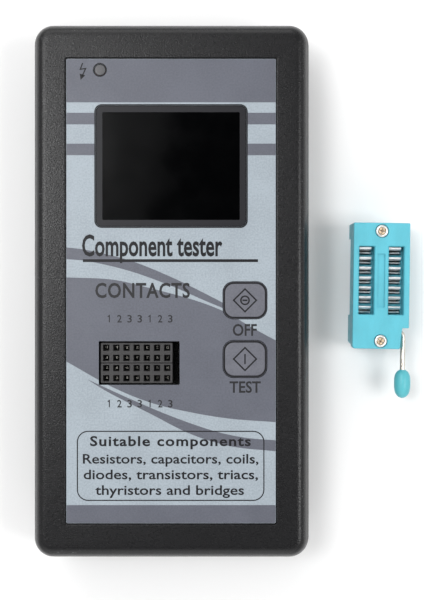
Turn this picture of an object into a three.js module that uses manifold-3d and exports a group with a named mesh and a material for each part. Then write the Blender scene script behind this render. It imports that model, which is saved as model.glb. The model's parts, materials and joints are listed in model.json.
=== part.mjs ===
// Handheld component tester with its plug-in zero-insertion-force (ZIF) socket adapter.
// Millimetres, +Z up. The origin is the centre of the tester's back face, which lies on the bench;
// +Y runs towards the display end and +Z comes out of the printed face. The adapter stands on its own
// legs beside the tester, as it is set down between uses.
import * as THREE from "three";
import { ConvexGeometry } from "three/addons/geometries/ConvexGeometry.js";
import { mergeVertices } from "three/addons/utils/BufferGeometryUtils.js";
import Module from "manifold-3d";

const wasm = await Module();
wasm.setup();

// ---------------------------------------------------------------- driving dimensions
const PIN_PITCH = 2.54;
const GAP = 0.1; // clearance between fitted pieces

// The case is widest at its joint, and its sides belly out to it: belly is that curve's exponent.
const CASE = { width: 70, length: 135, height: 25, corner: 5.2, edge: 3.9, belly: 3, wall: 2.0, split: 12.5 };
const RECESS = { width: 52.8, length: 116.4, floor: 24.4 };
const FACE_INSIDE = RECESS.floor - CASE.wall; // underside of the front wall
const FILM = { width: 52.3, length: 115.9, bottom: 24.45, top: 24.8 };

const SCREEN = { x: 0, y: 31.2, width: 34.3, length: 26.9 }; // opening in the case
const WINDOW = { width: 37.6, length: 30.2, corner: 1.5 }; // opening in the overlay
const LAMP = { x: -17.75, y: 55.2, bore: 1.7, window: 1.45 }; // radii in the cover and in the overlay
const PORT = { x: -7.95, y: -17.95, width: 20.2, length: 10.9 }; // opening over the test headers
const HEADER = { x: -8.6, y: -17.95, columns: 7, rows: 2, bottom: 16.2, top: 24.55 };
const KEY = { x: 18.45, width: 10.9, length: 9.2, corner: 2.6, clearance: 0.15, stem: 2.6 };
const KEYS = { off: -2.3, test: -16.95 }; // y of each key's centre

const BOARD = { bottom: 14.5, top: 16.1, halfWidth: 31, front: -28, back: 56.8 };
const BOARD_TAB = { half: 24.8, back: 64.3 }; // its narrower end, which carries the charging socket
const SWITCH = { side: 6, bottom: 16.2, top: 19.6, plungerTop: 23.9, plunger: 1.7, bore: 1.9, floor: 17.4 };
const CHIP = { x: 2, y: 24, width: 35.4, length: 9.6, bottom: 10.3 };
const BOARD_BOSS = { x: 27.5, ys: [53.5, -24.5], radius: 2.5, pilot: 0.9, bottom: BOARD.top + GAP };
const CASE_BOSS = { x: 28.2, ys: [60.4, -31.6], radius: 2.9, pilot: 1.2, clearance: 1.7 };
const COUNTERBORE = { radius: 3.0, seat: 4 }; // for the case screws' heads
const BOSS_FOOT = { radius: 4.2, top: 5.6 }; // the wider foot round each counterbore
const SOCKET = { x: LAMP.x, width: 7.5, height: 2.7, depth: 5.6, back: 66.9 }; // charging socket

const CELL = { y: -47.5, z: 9.5, radius: 7.1, left: -24, right: 25, nub: 1 };
const BAY = { halfX: 27, halfY: 8.7, wall: 1.4, ceiling: 17.3 };
const DOOR = { halfWidth: 28.7, back: -36.5, thickness: 1.7, tongue: 0.95, tongueBottom: 0.9 };
const DOOR_FLOOR = 3.3; // top of the ledge that the door slides under

const ZIF_PLACE = { x: 53.83, y: 2.78, turn: -0.8 }; // midway between its rows of legs; turn in degrees
const ZIF = { legs: 3.3, joint: 10.65, top: 14.7, halfWidth: 7.3, back: 14.9, front: -17.6 };
const ZIF_NOTCH = { x: 5.0, backX: 5.55, y: -12.2 };
const ZIF_SLOT = { width: 3.9, length: 17.6, row: 3.81 };
const ZIF_PINS = 7;
const ZIF_RIVETS = { top: 12.75, bottom: -15.6 };
const LEVER = { x: 6.45, y: -13.34, z: 9.4, radius: 0.75, end: -27.5, knob: -26.75 };
const CAM = { offset: 0.5, radius: 0.9, halfWidth: 3, room: 0.15 };
const SLIDER = { bottom: 8.9, top: 10.5, halfWidth: 6.1, front: -12.25, back: 10.2, travel: 0.5 };

// ---------------------------------------------------------------- materials
const look = (settings) => new THREE.MeshStandardMaterial(settings);
const plastic = (color, roughness) => look({ color, roughness, metalness: 0 });
const metal = (color, roughness) => look({ color, roughness, metalness: 1 });
const CASE_BLACK = plastic(0x2a2a2c, 0.7);
const FILM_GREY = plastic(0xb8c3cb, 0.45);
const KEY_GREY = plastic(0x75777f, 0.45);
const CLEAR = look({ color: 0xe8f0f4, roughness: 0.05, opacity: 0.3, transparent: true });
const FROSTED = plastic(0x9a9a9c, 0.5);
const HEADER_BLACK = plastic(0x1c1c1e, 0.5);
const BOARD_GREEN = plastic(0x1f5a34, 0.45);
const BOARD_RED = plastic(0x8c1f1f, 0.45);
const SCREEN_BLACK = plastic(0x060607, 0.15);
const CELL_WRAP = plastic(0x2f7d4f, 0.35);
const RED = plastic(0xb01818, 0.5);
const TURQUOISE = plastic(0x4ec0d8, 0.45);
const TIN = metal(0xc8ccd0, 0.35);
const STEEL = metal(0x9a9da2, 0.4);
const BRASS = metal(0xd8c49a, 0.3);

// ---------------------------------------------------------------- solids
// A closed three.js geometry as a solid that can be joined and cut.
function solid(geometry) {
  const bare = geometry.clone();
  bare.deleteAttribute("normal");
  bare.deleteAttribute("uv");
  const merged = mergeVertices(bare, 1e-4);
  const vertProperties = merged.attributes.position.array;
  const triVerts = new Uint32Array(merged.index.array);
  return new wasm.Manifold(new wasm.Mesh({ numProp: 3, vertProperties, triVerts }));
}

function geometryOf(made) {
  const mesh = made.getMesh();
  const geometry = new THREE.BufferGeometry();
  geometry.setAttribute("position", new THREE.BufferAttribute(new Float32Array(mesh.vertProperties), 3));
  geometry.setIndex(new THREE.BufferAttribute(new Uint32Array(mesh.triVerts), 1));
  geometry.computeVertexNormals();
  return geometry;
}

function piece(name, made, material) {
  const mesh = new THREE.Mesh(geometryOf(made), material);
  mesh.name = name;
  return mesh;
}

const join = (first, ...others) => others.reduce((all, next) => all.add(next), first);
const cut = (from, ...tools) => tools.reduce((left, tool) => left.subtract(tool), from);

function box(x0, x1, y0, y1, z0, z1) {
  const made = new THREE.BoxGeometry(x1 - x0, y1 - y0, z1 - z0);
  return solid(made.translate((x0 + x1) / 2, (y0 + y1) / 2, (z0 + z1) / 2));
}

// A box centred on (x, y) in plan.
function block(x, y, width, length, z0, z1) {
  return box(x - width / 2, x + width / 2, y - length / 2, y + length / 2, z0, z1);
}

// An upright cylinder. Its radius can change from the bottom to the top.
function post(x, y, radius, z0, z1, sides = 20, topRadius = radius) {
  const made = new THREE.CylinderGeometry(topRadius, radius, z1 - z0, sides);
  return solid(made.rotateX(Math.PI / 2).translate(x, y, (z0 + z1) / 2));
}

// A cylinder along X.
function rod(y, z, radius, x0, x1, sides) {
  const made = new THREE.CylinderGeometry(radius, radius, x1 - x0, sides);
  return solid(made.rotateZ(Math.PI / 2).translate((x0 + x1) / 2, y, z));
}

// A solid of revolution about an upright axis through (x, y); profile is [radius, height] pairs.
function turned(x, y, profile, sides) {
  const points = profile.map(([radius, height]) => new THREE.Vector2(radius, height));
  return solid(new THREE.LatheGeometry(points, sides).rotateX(Math.PI / 2).translate(x, y, 0));
}

function roundedRect(x, y, width, length, corner) {
  const dx = width / 2 - corner;
  const dy = length / 2 - corner;
  const shape = new THREE.Shape();
  const quarter = Math.PI / 2;
  [[dx, dy], [-dx, dy], [-dx, -dy], [dx, -dy]].forEach(([cx, cy], i) => {
    shape.absarc(x + cx, y + cy, corner, i * quarter, (i + 1) * quarter);
  });
  shape.closePath();
  return shape;
}

function prism(shape, z0, z1, curveSegments = 3) {
  const made = new THREE.ExtrudeGeometry(shape, { depth: z1 - z0, bevelEnabled: false, curveSegments });
  return solid(made.translate(0, 0, z0));
}

function roundedBlock(x, y, width, length, corner, z0, z1) {
  return prism(roundedRect(x, y, width, length, corner), z0, z1);
}

// A rounded rectangle whose top and bottom edges are rounded too.
function pillow(width, length, corner, edge, z0, z1, bevelSegments) {
  const made = new THREE.ExtrudeGeometry(roundedRect(0, 0, width, length, corner), {
    depth: z1 - z0 - 2 * edge,
    bevelThickness: edge,
    bevelSize: edge,
    bevelOffset: -edge,
    bevelSegments,
    curveSegments: 3,
  });
  return solid(made.translate(0, 0, z0 + edge));
}

// A wire or lead of round section along a smooth route.
function tube(route, radius, steps, curveSegments) {
  const section = new THREE.Shape().absarc(0, 0, radius, 0, 2 * Math.PI);
  const extrudePath = new THREE.CatmullRomCurve3(route);
  const options = { steps, curveSegments, bevelEnabled: false, extrudePath };
  return solid(new THREE.ExtrudeGeometry(section, options));
}

// A part that repeats left and right, at each y of a list.
const corners = (x, ys) => ys.flatMap((y) => [[-x, y], [x, y]]);
const CASE_BOSSES = corners(CASE_BOSS.x, CASE_BOSS.ys);
const BOARD_BOSSES = corners(BOARD_BOSS.x, BOARD_BOSS.ys);

// ---------------------------------------------------------------- the two case halves
// A superellipse from the joint to the flat top and back, with a rounded rectangle at each of its steps.
function outerBody() {
  const { width, length, corner, edge, belly, split } = CASE;
  const points = [];
  for (const degrees of [-90, -84, -72, -56, -36, -12, 12, 36, 56, 72, 84, 90]) {
    const angle = THREE.MathUtils.degToRad(degrees);
    const inset = edge * (1 - Math.cos(angle) ** (2 / belly));
    const z = split * (1 + Math.sign(angle) * Math.abs(Math.sin(angle)) ** (2 / belly));
    const outline = roundedRect(0, 0, width - 2 * inset, length - 2 * inset, Math.max(corner - inset, 1.3));
    points.push(...outline.getPoints(3).map((p) => new THREE.Vector3(p.x, p.y, z)));
  }
  return solid(new ConvexGeometry(points));
}

function cavity(inset, z0, z1) {
  const w = CASE.width - 2 * inset;
  const l = CASE.length - 2 * inset;
  return pillow(w, l, CASE.corner - inset + 0.6, 1.8, z0, z1, 2);
}

// The band inside the joint where the lower half's lip stands inside the upper half.
function lipBand(inset, z0, z1) {
  return roundedBlock(0, 0, CASE.width - 2 * inset, CASE.length - 2 * inset, CASE.corner - inset, z0, z1);
}

const faceOpening = (o) => block(o.x, o.y, o.width, o.length, FACE_INSIDE - 1, CASE.height + 1);
const lampHole = (radius) => post(LAMP.x, LAMP.y, radius, FACE_INSIDE - 1, CASE.height + 1, 20);
const LIP = { inset: 1.0, height: 1.1 };

function keyHole(y, grow) {
  const width = KEY.width + 2 * grow;
  const length = KEY.length + 2 * grow;
  return roundedBlock(KEY.x, y, width, length, KEY.corner + grow, FACE_INSIDE - 1, CASE.height + 1);
}

function frontCover() {
  const half = cut(outerBody(), box(-50, 50, -80, 80, -1, CASE.split + GAP / 2));
  const shell = cut(half, cavity(CASE.wall, CASE.split - 8, FACE_INSIDE));
  const bossTop = FACE_INSIDE + 0.5;
  const boss = ({ radius }, bottom) => ([x, y]) => post(x, y, radius, bottom, bossTop, 12);
  const bosses = [
    ...CASE_BOSSES.map(boss(CASE_BOSS, CASE.split + GAP / 2)),
    ...BOARD_BOSSES.map(boss(BOARD_BOSS, BOARD_BOSS.bottom)),
  ];
  const pilot = (at, bottom) => ([x, y]) => post(x, y, at.pilot, bottom - 1, FACE_INSIDE - 1, 8);
  const ribs = [-1, 1].map((side) => block(side * 14, -63, 1.2, 2, 15, bossTop));
  const solidHalf = join(shell, ...bosses, ...ribs);
  return cut(
    solidHalf,
    lipBand(LIP.inset - GAP, CASE.split - 1, CASE.split + LIP.height + GAP).subtract(
      lipBand(CASE.wall + 3, CASE.split - 2, CASE.split + LIP.height + 2),
    ),
    block(0, 0, RECESS.width, RECESS.length, RECESS.floor, CASE.height + 1),
    faceOpening(SCREEN),
    faceOpening(PORT),
    ...Object.values(KEYS).map((y) => keyHole(y, KEY.clearance)),
    lampHole(LAMP.bore),
    ...CASE_BOSSES.map(pilot(CASE_BOSS, CASE.split)),
    ...BOARD_BOSSES.map(pilot(BOARD_BOSS, BOARD_BOSS.bottom)),
    block(SOCKET.x, CASE.length / 2, SOCKET.width + 0.8, 6, BOARD.top - 0.3, BOARD.top + SOCKET.height + 0.5),
  );
}

// The battery door's outline, grown by a clearance: the plate, and the tongues along its sides.
function doorSpace(grow, front) {
  const { halfWidth, back, thickness, tongue, tongueBottom } = DOOR;
  const reach = halfWidth + tongue + grow;
  const plate = box(-halfWidth - grow, halfWidth + grow, front, back + grow, -1, thickness + grow);
  return join(plate, box(-reach, reach, front, back + grow, tongueBottom - grow, thickness + grow));
}

function contactSlot(x) {
  return block(x, CELL.y, 0.9, 10.4, DOOR_FLOOR + 0.2, BAY.ceiling + 3);
}

function rearCover() {
  const half = cut(outerBody(), box(-50, 50, -80, 80, CASE.split - GAP / 2, CASE.height + 1));
  const shell = cut(half, cavity(CASE.wall, CASE.wall, CASE.split + 8));
  const lip = cut(
    lipBand(LIP.inset, CASE.split - 1.5, CASE.split + LIP.height),
    lipBand(CASE.wall, CASE.split - 3, CASE.split + LIP.height + 1),
  );
  const { halfX, halfY, wall, ceiling } = BAY;
  const ledge = box(-31, 31, -66, DOOR.back + 2, CASE.wall - 0.5, DOOR_FLOOR);
  const bay = block(0, CELL.y, 2 * (halfX + wall), 2 * (halfY + wall), CASE.wall, ceiling + wall);
  const bosses = CASE_BOSSES.flatMap(([x, y]) => [
    post(x, y, CASE_BOSS.radius, CASE.wall - 0.5, CASE.split - GAP / 2, 12),
    post(x, y, BOSS_FOOT.radius, CASE.wall - 0.5, BOSS_FOOT.top, 16),
  ]);
  const solidHalf = join(shell, lip, ledge, bay, ...bosses);
  return cut(
    solidHalf,
    doorSpace(0.15, -CASE.length),
    block(0, CELL.y, 2 * halfX, 2 * halfY, 0, ceiling),
    ...[-1, 1].map((side) => contactSlot(side * (halfX - 0.35))),
    ...CASE_BOSSES.flatMap(([x, y]) => [
      post(x, y, CASE_BOSS.clearance, 0, CASE.height, 10),
      post(x, y, COUNTERBORE.radius, -1, COUNTERBORE.seat, 18),
    ]),
  );
}

// A plate that ends in the case's own rounded edge, with a ribbed thumb recess.
function batteryDoor() {
  const plate = outerBody().intersect(doorSpace(0, -CASE.length));
  const thumb = [0, 1, 2, 3].map((i) => block(0, -60 + i * 1.8, 14 - 2 * i, 0.9, -1, 0.5));
  const catchRidge = block(0, DOOR.back - 1.7, 8, 1, DOOR.thickness - 0.2, DOOR.thickness + 0.08);
  const slots = [-1, 1].map((side) => block(side * 5.2, DOOR.back - 3, 0.8, 8, -1, 5));
  return cut(join(plate, catchRidge), ...thumb, ...slots);
}

// ---------------------------------------------------------------- the printed face
function overlayFilm() {
  const sheet = block(0, 0, FILM.width, FILM.length, FILM.bottom, FILM.top);
  const window = roundedBlock(SCREEN.x, SCREEN.y, WINDOW.width, WINDOW.length, WINDOW.corner, 20, 30);
  const keys = Object.values(KEYS).map((y) => keyHole(y, KEY.clearance));
  return cut(sheet, window, faceOpening(PORT), ...keys, lampHole(LAMP.window));
}

function displayWindow() {
  const width = WINDOW.width - 2 * GAP;
  const length = WINDOW.length - 2 * GAP;
  return roundedBlock(SCREEN.x, SCREEN.y, width, length, WINDOW.corner - GAP, FILM.bottom, FILM.top);
}

function membraneKey(y) {
  const cap = roundedBlock(KEY.x, y, KEY.width, KEY.length, KEY.corner, FILM.bottom, FILM.top + 0.1);
  return join(cap, post(KEY.x, y, KEY.stem, SWITCH.plungerTop + 0.05, FILM.bottom + 0.1, 12));
}

// ---------------------------------------------------------------- the electronics
function mainBoard() {
  const b = BOARD;
  const body = box(-b.halfWidth, b.halfWidth, b.front, b.back, b.bottom, b.top);
  const tab = box(-BOARD_TAB.half, BOARD_TAB.half, b.back - 1, BOARD_TAB.back, b.bottom, b.top);
  const holes = BOARD_BOSSES.map(([x, y]) => post(x, y, 1.5, b.bottom - 1, b.top + 1, 10));
  return cut(join(body, tab), ...holes);
}

function displayBoard() {
  const holes = corners(26, [SCREEN.y - 14.8, SCREEN.y + 14.8]);
  const plate = block(SCREEN.x, SCREEN.y, 56.4, 34.4, 18.65, 19.85);
  return cut(plate, ...holes.map(([x, y]) => post(x, y, 1.1, 18, 21, 8)));
}

function displayPanel() {
  const frame = block(SCREEN.x + 1.5, SCREEN.y, 46.6, 34, 19.95, 21.9);
  const glass = block(SCREEN.x, SCREEN.y, 38, 30.6, 21.8, 22.3);
  return join(frame, glass);
}

function testHeader(y) {
  const { x, columns, rows, bottom, top } = HEADER;
  let body = block(x, y, columns * PIN_PITCH + 0.2, rows * PIN_PITCH - 0.06, bottom, top);
  for (let column = 0; column < columns; column++) {
    for (let row = 0; row < rows; row++) {
      const px = x + (column - (columns - 1) / 2) * PIN_PITCH;
      const py = y + (row - (rows - 1) / 2) * PIN_PITCH;
      body = cut(body, squareFunnel(px, py, top));
    }
  }
  return body;
}

// A square socket mouth that narrows downwards.
function squareFunnel(x, y, top) {
  const half = Math.SQRT1_2; // a four-sided cylinder's radius reaches its corners
  const made = new THREE.CylinderGeometry(1.5 * half, 0.75 * half, 3.2, 4);
  return solid(made.rotateX(Math.PI / 2).rotateZ(Math.PI / 4).translate(x, y, top - 1.55));
}

function switchBody(y) {
  const { side, bottom, top, bore, floor } = SWITCH;
  return cut(block(KEY.x, y, side, side, bottom, top), post(KEY.x, y, bore, floor, top + 1, 12));
}

const switchPlunger = (y) => post(KEY.x, y, SWITCH.plunger, SWITCH.floor + 0.6, SWITCH.plungerTop, 12);

function chargeLed() {
  const outline = [[0, 19], [1.9, 19], [1.9, 19.9], [1.45, 19.9], [1.45, 22.9], [1.1, 23.9], [0, 24.3]];
  const dome = turned(LAMP.x, LAMP.y, outline, 12);
  const legs = [-1, 1].map((side) => block(LAMP.x + side * 1.27, LAMP.y, 0.5, 0.5, BOARD.top + GAP, 19.2));
  return join(dome, ...legs);
}

const chargeLens = () => post(LAMP.x, LAMP.y, LAMP.window - 0.12, FILM.bottom, FILM.top, 20);

function chargeSocket() {
  const { x, width, height, depth, back } = SOCKET;
  const z0 = BOARD.top + GAP;
  const shell = block(x, back - depth / 2, width, depth, z0, z0 + height - 0.1);
  const mouth = block(x, back - 1.5, width - 0.7, 4.4, z0 + 0.35, z0 + height - 0.45);
  const tongue = block(x, back - 2.6, width - 3.4, 3.4, z0 + 1.5, z0 + 2.0);
  return join(cut(shell, mouth), tongue);
}

function chipSocket() {
  return block(CHIP.x, CHIP.y, CHIP.width + 0.4, CHIP.length, CHIP.bottom, BOARD.bottom - GAP);
}

function microcontroller() {
  const top = CHIP.bottom - GAP;
  const body = block(CHIP.x, CHIP.y, CHIP.width, 7, top - 3.3, top);
  return cut(body, post(CHIP.x - CHIP.width / 2, CHIP.y, 1.2, top - 4, top - 2.8, 12));
}

const crystal = () => roundedBlock(24, 8, 4.6, 11, 2.2, 10.8, BOARD.bottom - GAP);

function electrolyticCapacitor() {
  const z = BOARD.bottom - GAP;
  const can = [[0, z - 8.4], [2.8, z - 8.4], [3.15, z - 8]];
  const crimp = [[3.15, z - 1.6], [2.9, z - 1.2], [3.15, z - 0.8], [3.15, z], [0, z]];
  return turned(-22, -8, [...can, ...crimp], 12);
}

function voltageRegulator() {
  const z = BOARD.bottom - GAP;
  const body = cut(post(-8, 4, 2.3, z - 7.5, z - 2.6, 14), block(-8, 2, 6, 2, z - 9, z));
  const legs = [-1.27, 0, 1.27].map((dx) => block(-8 + dx, 4.4, 0.5, 0.45, z - 3, z));
  return join(body, ...legs);
}

// A cross-head screw driven upwards: the head is under the seat.
function screw([x, y], seat, tip, head, shank) {
  const headEnd = seat - 1.9;
  const crossTop = headEnd + 0.9;
  const body = join(
    post(x, y, head * 0.9, headEnd, seat, 14, head),
    post(x, y, shank, seat - 0.1, tip - 1.2, 8),
    post(x, y, shank, tip - 1.2, tip, 8, shank * 0.25),
  );
  return cut(
    body,
    block(x, y, head * 1.1, 0.7, headEnd - 1, crossTop),
    block(x, y, 0.7, head * 1.1, headEnd - 1, crossTop),
  );
}

const caseScrew = (at) => screw(at, COUNTERBORE.seat - GAP / 2, 17.5, 2.75, 1.1);
const boardScrew = (at) => screw(at, BOARD.bottom - GAP / 2, 20.6, 2.3, 0.8);

// ---------------------------------------------------------------- the battery
function batteryCell() {
  const { y, z, radius, left, right, nub } = CELL;
  return join(rod(y, z, radius, left, right, 24), rod(y, z, 2.7, right - 0.5, right + nub, 12));
}

function batteryContact(x) {
  const plate = block(x, CELL.y, 0.4, 9.6, 5, BAY.ceiling);
  const tab = block(x, CELL.y, 0.4, 3, BAY.ceiling - 1, BAY.ceiling + BAY.wall + 1.4);
  return join(plate, tab);
}

// A conical coil spring between the negative plate and the cell.
function batterySpring(x) {
  const wire = 0.35;
  const start = x + 0.3 + wire;
  const end = CELL.left - 0.15 - wire;
  const turns = 2.5;
  const route = [];
  for (let i = 0; i <= 10 * turns; i++) {
    const t = i / (10 * turns);
    const angle = t * turns * 2 * Math.PI;
    const radius = 4.3 - 2.2 * t;
    const y = CELL.y + radius * Math.cos(angle);
    route.push(new THREE.Vector3(start + (end - start) * t, y, CELL.z + radius * Math.sin(angle)));
  }
  return tube(route, wire, 40, 2);
}

// A lead soldered from a contact's tab to the board, on top of the battery bay.
function batteryLead(side) {
  const z = BAY.ceiling + BAY.wall + 1;
  const route = [
    [side * (BAY.halfX - 1.5), CELL.y, z],
    [side * (BAY.halfX - 3), CELL.y + 2.5, z + 0.6],
    [side * (BAY.halfX - 5), CELL.y + 9, z + 0.6],
    [side * (BAY.halfX - 5.5), CELL.y + 15, z - 0.4],
    [side * (BAY.halfX - 5.5), CELL.y + 21.5, BOARD.top + 1.1],
  ].map((p) => new THREE.Vector3(...p));
  return tube(route, 0.65, 12, 4);
}

// ---------------------------------------------------------------- the ZIF socket adapter
// In its own frame: the origin is on the bench, midway between the two rows of legs.
function zifOutline() {
  const { halfWidth, back, front } = ZIF;
  const nick = 1.3;
  const shape = new THREE.Shape();
  shape.moveTo(halfWidth, back);
  shape.lineTo(-halfWidth, back);
  shape.lineTo(-halfWidth, front + nick);
  shape.lineTo(-halfWidth + nick, front);
  shape.lineTo(ZIF_NOTCH.x, front);
  shape.lineTo(ZIF_NOTCH.backX, ZIF_NOTCH.y);
  shape.lineTo(halfWidth, ZIF_NOTCH.y);
  shape.closePath();
  return shape;
}

const zifRow = (side) => side * ZIF_SLOT.row;
const zifPinY = (i) => ((ZIF_PINS - 1) / 2 - i) * PIN_PITCH;
const bothRows = (make) => [-1, 1].map(make);
const pinNumbers = Array.from({ length: ZIF_PINS }, (_, i) => i);
const eachPin = (make) => bothRows((side) => pinNumbers.map((i) => make(side, i))).flat();

function zifBase() {
  const { legs, joint } = ZIF;
  const pocket = SLIDER.halfWidth + GAP;
  const camRoom = CAM.halfWidth + CAM.room;
  const wells = bothRows((side) => block(zifRow(side), 0, 3.9, 17.9, legs + 1, joint + 1));
  const legHoles = eachPin((side, i) => block(zifRow(side), zifPinY(i), 0.9, 0.7, legs - 1, legs + 2));
  return cut(
    prism(zifOutline(), legs, joint - GAP / 2),
    box(-pocket, pocket, LEVER.y, SLIDER.back + SLIDER.travel + 0.2, SLIDER.bottom - GAP, joint + 1),
    box(-5.2, 8, LEVER.y - 0.95, SLIDER.front, LEVER.z - 0.9, joint + 1),
    box(-camRoom, camRoom, LEVER.y - 0.95, -11.7, LEVER.z - CAM.radius - CAM.room, joint + 1),
    ...wells,
    ...legHoles,
    ...Object.values(ZIF_RIVETS).flatMap((y) => [
      post(0, y, 1.1, 0, joint + 1, 12),
      post(0, y, 1.8, 0, legs + 0.7, 16),
    ]),
    ...[-1, 1].map((side) => block(side * ZIF.halfWidth, 1, 0.8, 20, legs - 1, joint - 2.2)),
  );
}

function zifCover() {
  const { joint, top } = ZIF;
  return cut(
    prism(zifOutline(), joint + GAP / 2, top),
    ...bothRows((side) => block(zifRow(side), 0, ZIF_SLOT.width, ZIF_SLOT.length, joint - 1, top + 1)),
    block(-0.05, 0, 1.8, 13.8, top - 0.25, top + 1),
    box(-CAM.halfWidth - 0.3, CAM.halfWidth + 0.3, LEVER.y - 1.05, -11.7, joint - 1, joint + 0.5),
    ...Object.values(ZIF_RIVETS).flatMap((y) => [
      post(0, y, 1.1, joint - 1, top + 1, 12),
      post(0, y, 1.75, top - 0.5, top + 1, 16),
    ]),
  );
}

// The plate that the lever drives: its windows let the contact blades through.
function zifSlider() {
  const { bottom, top, halfWidth, front, back, travel } = SLIDER;
  const windows = eachPin((side, i) => {
    const x = zifRow(side);
    const y = zifPinY(i);
    return box(x - 2, x + 1.5, y - 0.44 - travel, y + 0.44, bottom - 1, top + 1);
  });
  return cut(box(-halfWidth, halfWidth, front, back, bottom, top), ...windows);
}

// One contact: a leg, and two facing blades whose tops flare apart to let a lead in.
function zifContact(side, i) {
  const x = zifRow(side) - 0.3;
  const y = zifPinY(i);
  const outline = [
    [0.36, 5], [0.36, 12.9], [1.15, 13.6], [1.05, 13.8], [0.15, 13.05], [0.14, 5.25],
    [-0.14, 5.25], [-0.15, 13.05], [-0.72, 13.7], [-0.92, 13.55], [-0.36, 12.9], [-0.36, 5],
  ];
  const shape = new THREE.Shape(outline.map(([dy, z]) => new THREE.Vector2(dy, z)));
  const blades = new THREE.ExtrudeGeometry(shape, { depth: 3.1, bevelEnabled: false });
  // the outline's (y, z) plane is turned upright, and the width runs along X
  const upright = new THREE.Matrix4().makeBasis(
    new THREE.Vector3(0, 1, 0), new THREE.Vector3(0, 0, 1), new THREE.Vector3(1, 0, 0),
  );
  blades.applyMatrix4(upright).translate(x - 1.55, y, 0);
  const leg = block(zifRow(side), y, 0.55, 0.35, 0.6, 5.1);
  return join(solid(blades), leg, post(zifRow(side), y, 0.1, 0, 0.7, 8, 0.2));
}

function zifRivet(y) {
  const low = ZIF.legs + 0.15;
  const high = ZIF.top + 0.1;
  const profile = [
    [0.65, low], [1.6, low], [1.6, low + 0.35], [1, low + 0.4], [1, high - 0.5],
    [1.6, high - 0.4], [1.5, high], [0.8, high], [0.65, high - 0.3], [0.65, low],
  ];
  return turned(0, y, profile, 16);
}

function zifLever() {
  const { x, y, z, radius, end } = LEVER;
  const arm = new THREE.CylinderGeometry(radius, radius, y - end, 12).translate(x, (y + end) / 2, z);
  const elbow = new THREE.SphereGeometry(radius, 12, 8).translate(x, y, z);
  return join(
    rod(y, z, radius, -4.6, x, 12),
    solid(elbow),
    solid(arm),
    rod(y, z + CAM.offset, CAM.radius, -CAM.halfWidth, CAM.halfWidth, 16),
  );
}

// A grip of round section, a little slimmer towards the socket, on the end of the lever's arm.
function zifKnob() {
  const length = 7.5;
  const widest = 2.2;
  const points = [];
  for (let i = 0; i <= 10; i++) {
    const t = i / 10;
    const swell = Math.sqrt(Math.max(0, 1 - Math.abs(2 * t - 1) ** 3));
    points.push(new THREE.Vector2(widest * swell * (0.94 + 0.06 * t), length * (0.5 - t)));
  }
  const grip = new THREE.LatheGeometry(points.reverse(), 14).translate(LEVER.x, LEVER.knob, LEVER.z);
  const bore = new THREE.CylinderGeometry(LEVER.radius + GAP, LEVER.radius + GAP, 6, 12);
  const boreEnd = LEVER.end - GAP;
  return cut(solid(grip), solid(bore.translate(LEVER.x, boreEnd + 3, LEVER.z)));
}

// ---------------------------------------------------------------- assembly
const tester = new THREE.Group();
tester.add(
  piece("front_cover", frontCover(), CASE_BLACK),
  piece("rear_cover", rearCover(), CASE_BLACK),
  piece("battery_door", batteryDoor(), CASE_BLACK),
  piece("front_overlay", overlayFilm(), FILM_GREY),
  piece("display_window", displayWindow(), CLEAR),
  piece("charge_lens", chargeLens(), FROSTED),
  piece("main_board", mainBoard(), BOARD_GREEN),
  piece("display_board", displayBoard(), BOARD_RED),
  piece("display_panel", displayPanel(), SCREEN_BLACK),
  piece("display_pin_strip", block(-26.3, SCREEN.y, 2.5, 20.3, BOARD.top + GAP, 18.55), HEADER_BLACK),
  piece("upper_test_header", testHeader(HEADER.y + PIN_PITCH), HEADER_BLACK),
  piece("lower_test_header", testHeader(HEADER.y - PIN_PITCH), HEADER_BLACK),
  piece("charge_led", chargeLed(), RED),
  piece("charge_socket", chargeSocket(), TIN),
  piece("chip_socket", chipSocket(), HEADER_BLACK),
  piece("microcontroller", microcontroller(), HEADER_BLACK),
  piece("crystal", crystal(), TIN),
  piece("electrolytic_capacitor", electrolyticCapacitor(), HEADER_BLACK),
  piece("voltage_regulator", voltageRegulator(), HEADER_BLACK),
  piece("battery_cell", batteryCell(), CELL_WRAP),
  piece("battery_contact_positive", batteryContact(BAY.halfX - 0.4), TIN),
  piece("battery_contact_negative", batteryContact(-BAY.halfX + 0.4), TIN),
  piece("battery_spring", batterySpring(-BAY.halfX + 0.4), STEEL),
  piece("battery_lead_positive", batteryLead(1), RED),
  piece("battery_lead_negative", batteryLead(-1), HEADER_BLACK),
);
for (const [name, y] of Object.entries(KEYS)) {
  tester.add(
    piece(`${name}_key`, membraneKey(y), KEY_GREY),
    piece(`${name}_switch_plunger`, switchPlunger(y), HEADER_BLACK),
    piece(`${name}_switch_body`, switchBody(y), HEADER_BLACK),
  );
}
CASE_BOSSES.forEach((at, i) => tester.add(piece(`case_screw_${i + 1}`, caseScrew(at), STEEL)));
BOARD_BOSSES.forEach((at, i) => tester.add(piece(`board_screw_${i + 1}`, boardScrew(at), STEEL)));

const adapter = new THREE.Group();
adapter.position.set(ZIF_PLACE.x, ZIF_PLACE.y, 0);
adapter.rotation.z = THREE.MathUtils.degToRad(ZIF_PLACE.turn);
adapter.add(
  piece("zif_base", zifBase(), TURQUOISE),
  piece("zif_cover", zifCover(), TURQUOISE),
  piece("zif_slider", zifSlider(), TURQUOISE),
  piece("zif_lever", zifLever(), STEEL),
  piece("zif_lever_knob", zifKnob(), TURQUOISE),
);
for (const [place, y] of Object.entries(ZIF_RIVETS)) {
  adapter.add(piece(`zif_rivet_${place}`, zifRivet(y), BRASS));
}
for (let i = 0; i < ZIF_PINS; i++) {
  adapter.add(piece(`zif_contact_left_${i + 1}`, zifContact(-1, i), TIN));
  adapter.add(piece(`zif_contact_right_${i + 1}`, zifContact(1, i), TIN));
}

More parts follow.
